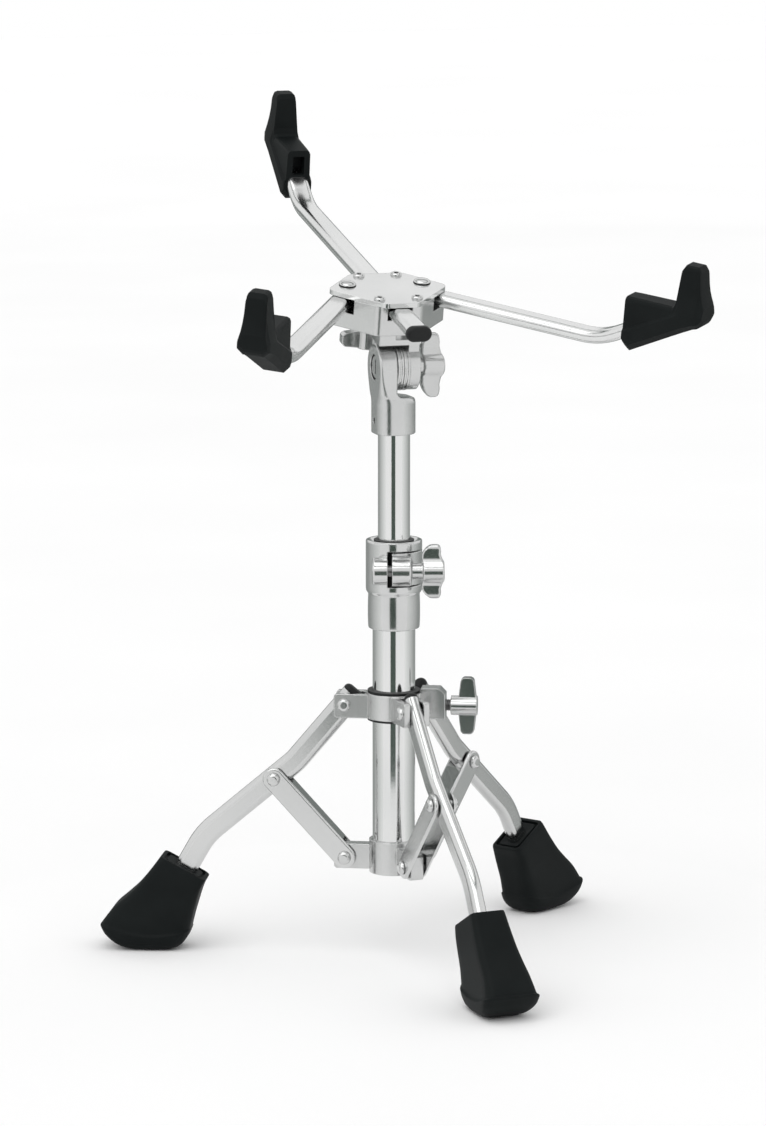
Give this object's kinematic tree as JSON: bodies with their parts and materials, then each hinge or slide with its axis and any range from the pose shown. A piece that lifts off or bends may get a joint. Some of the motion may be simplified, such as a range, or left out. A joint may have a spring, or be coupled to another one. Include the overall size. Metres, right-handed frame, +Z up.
{
  "type": "snare drum stand",
  "caption": "Chromed tripod stand that cradles a snare drum in a tilting basket of rubber-tipped arms, on a height-adjustable column with folding legs.",
  "frame": {"origin": "the point on the floor under the column's axis", "axes": "+Z up along the column, +X along the basket's tilt axis towards its wing nut, +Y towards the back arm"},
  "size_m": [0.3167, 0.3981, 0.5003],
  "materials": {
    "chrome_tube": "bright plated tube",
    "chrome_casting": "plated casting",
    "chrome_wing": "plated casting, slightly soft",
    "chrome_plate": "plated sheet",
    "steel_fastener": "zinc plated",
    "black_nylon": "moulded nylon",
    "black_rubber": "moulded rubber, satin"
  },
  "bodies": {
    "base": {"base_tube": "chrome_tube", "lower_collar": "chrome_casting", "lower_collar_screw": "steel_fastener", "lower_pin_1": "steel_fastener", "lower_pin_2": "steel_fastener", "lower_pin_3": "steel_fastener", "clamp_body": "chrome_casting", "clamp_bolt": "steel_fastener"},
    "stay_1": {"stay_1": "chrome_plate"},
    "leg_1": {"leg_1": "chrome_tube", "leg_cap_1": "black_nylon", "foot_1": "black_rubber", "stay_pin_1": "steel_fastener"},
    "stay_2": {"stay_2": "chrome_plate"},
    "leg_2": {"leg_2": "chrome_tube", "leg_cap_2": "black_nylon", "foot_2": "black_rubber", "stay_pin_2": "steel_fastener"},
    "stay_3": {"stay_3": "chrome_plate"},
    "leg_3": {"leg_3": "chrome_tube", "leg_cap_3": "black_nylon", "foot_3": "black_rubber", "stay_pin_3": "steel_fastener"},
    "leg_collar": {"leg_collar": "chrome_casting", "collar_bushing": "black_nylon", "collar_pin_1": "steel_fastener", "collar_pin_2": "steel_fastener", "collar_pin_3": "steel_fastener"},
    "collar_lock": {"collar_wing_bolt": "chrome_wing"},
    "clamp_lock": {"clamp_wing_nut": "chrome_wing"},
    "swivel_sleeve": {"clamp_bushing": "black_nylon"},
    "upper_column": {"upper_tube": "chrome_tube", "tilter_body": "chrome_casting", "tilter_roll_pin": "steel_fastener", "tilter_disc_fixed": "chrome_casting", "tilter_bolt": "steel_fastener"},
    "tilt_lock": {"tilter_wing_nut": "chrome_wing"},
    "basket_head": {"head_body": "chrome_casting", "head_plate": "chrome_plate", "head_screws": "steel_fastener", "arm_rivet_right": "steel_fastener", "arm_rivet_left": "steel_fastener", "tilter_disc_moving": "chrome_casting"},
    "right_arm": {"arm_right": "chrome_tube", "claw_right": "black_rubber"},
    "left_arm": {"arm_left": "chrome_tube", "claw_left": "black_rubber"},
    "back_arm": {"arm_slide": "chrome_tube", "claw_back": "black_rubber", "slide_cap": "black_nylon"},
    "arm_lock": {"arm_wing_bolt": "chrome_wing"}
  },
  "joints": [
    {"name": "leg_fold", "type": "hinge", "parent": "base", "child": "stay_1", "pos_m": [-0.02645, 0.01189, 0.0593], "axis": [0.4099, 0.9121, 0], "range_deg": [-5, 38]},
    {"name": "leg_1_pivot", "type": "hinge", "parent": "stay_1", "child": "leg_1", "pos_m": [-0.0652, 0.0293, 0.10582], "axis": [0.4099, 0.9121, 0], "range_deg": [-76, 10]},
    {"name": "stay_2_fold", "type": "hinge", "parent": "base", "child": "stay_2", "pos_m": [0.00293, -0.02885, 0.0593], "axis": [-0.9949, -0.1011, 0], "range_deg": [-5, 38]},
    {"name": "leg_2_pivot", "type": "hinge", "parent": "stay_2", "child": "leg_2", "pos_m": [0.00722, -0.07111, 0.10582], "axis": [-0.9949, -0.1011, 0], "range_deg": [-76, 10]},
    {"name": "stay_3_fold", "type": "hinge", "parent": "base", "child": "stay_3", "pos_m": [0.02352, 0.01696, 0.0593], "axis": [0.585, -0.8111, 0], "range_deg": [-5, 38]},
    {"name": "leg_3_pivot", "type": "hinge", "parent": "stay_3", "child": "leg_3", "pos_m": [0.05798, 0.04181, 0.10582], "axis": [0.585, -0.8111, 0], "range_deg": [-76, 10]},
    {"name": "collar_level", "type": "hinge", "parent": "leg_1", "child": "leg_collar", "pos_m": [-0.02645, 0.01189, 0.15234], "axis": [0.4099, 0.9121, 0], "range_deg": [-5, 38]},
    {"name": "collar_lock_turn", "type": "hinge", "parent": "leg_collar", "child": "collar_lock", "pos_m": [0, 0, 0.15234], "axis": [0.9205, -0.3907, 0], "continuous": true},
    {"name": "clamp_lock_turn", "type": "hinge", "parent": "base", "child": "clamp_lock", "pos_m": [-0.00556, -0.01817, 0.2356], "axis": [0.9563, -0.2924, 0], "continuous": true},
    {"name": "basket_swivel", "type": "hinge", "parent": "base", "child": "swivel_sleeve", "pos_m": [0, 0, 0.2516], "axis": [0, 0, 1], "continuous": true},
    {"name": "height_slide", "type": "slide", "parent": "swivel_sleeve", "child": "upper_column", "axis": [0, 0, 1], "range_m": [-0.06, 0.08]},
    {"name": "tilt_lock_turn", "type": "hinge", "parent": "upper_column", "child": "tilt_lock", "pos_m": [0, 0, 0.3545], "axis": [1, 0, 0], "continuous": true},
    {"name": "basket_tilt", "type": "hinge", "parent": "upper_column", "child": "basket_head", "pos_m": [0, 0, 0.3545], "axis": [1, 0, 0], "range_deg": [-37, 45]},
    {"name": "right_arm_swing", "type": "hinge", "parent": "basket_head", "child": "right_arm", "pos_m": [0.0147, -0.00612, 0.39737], "axis": [0, -0.2096, 0.9778], "range_deg": [-15, 62]},
    {"name": "left_arm_swing", "type": "hinge", "parent": "basket_head", "child": "left_arm", "pos_m": [-0.0307, -0.00612, 0.39737], "axis": [0, 0.2096, -0.9778], "range_deg": [-5, 71.9]},
    {"name": "back_arm_slide", "type": "slide", "parent": "basket_head", "child": "back_arm", "axis": [0, 0.9778, 0.2096], "range_m": [-0.06, 0.029]},
    {"name": "arm_lock_turn", "type": "hinge", "parent": "basket_head", "child": "arm_lock", "pos_m": [-0.008, 0.03031, 0.361], "axis": [0, -0.2096, 0.9778], "continuous": true}
  ],
  "couplings": [
    {"joint": "leg_1_pivot", "follows": "leg_fold", "ratio": -2},
    {"joint": "stay_2_fold", "follows": "leg_fold", "ratio": 1},
    {"joint": "leg_2_pivot", "follows": "leg_fold", "ratio": -2},
    {"joint": "stay_3_fold", "follows": "leg_fold", "ratio": 1},
    {"joint": "leg_3_pivot", "follows": "leg_fold", "ratio": -2},
    {"joint": "collar_level", "follows": "leg_fold", "ratio": 1}
  ]
}
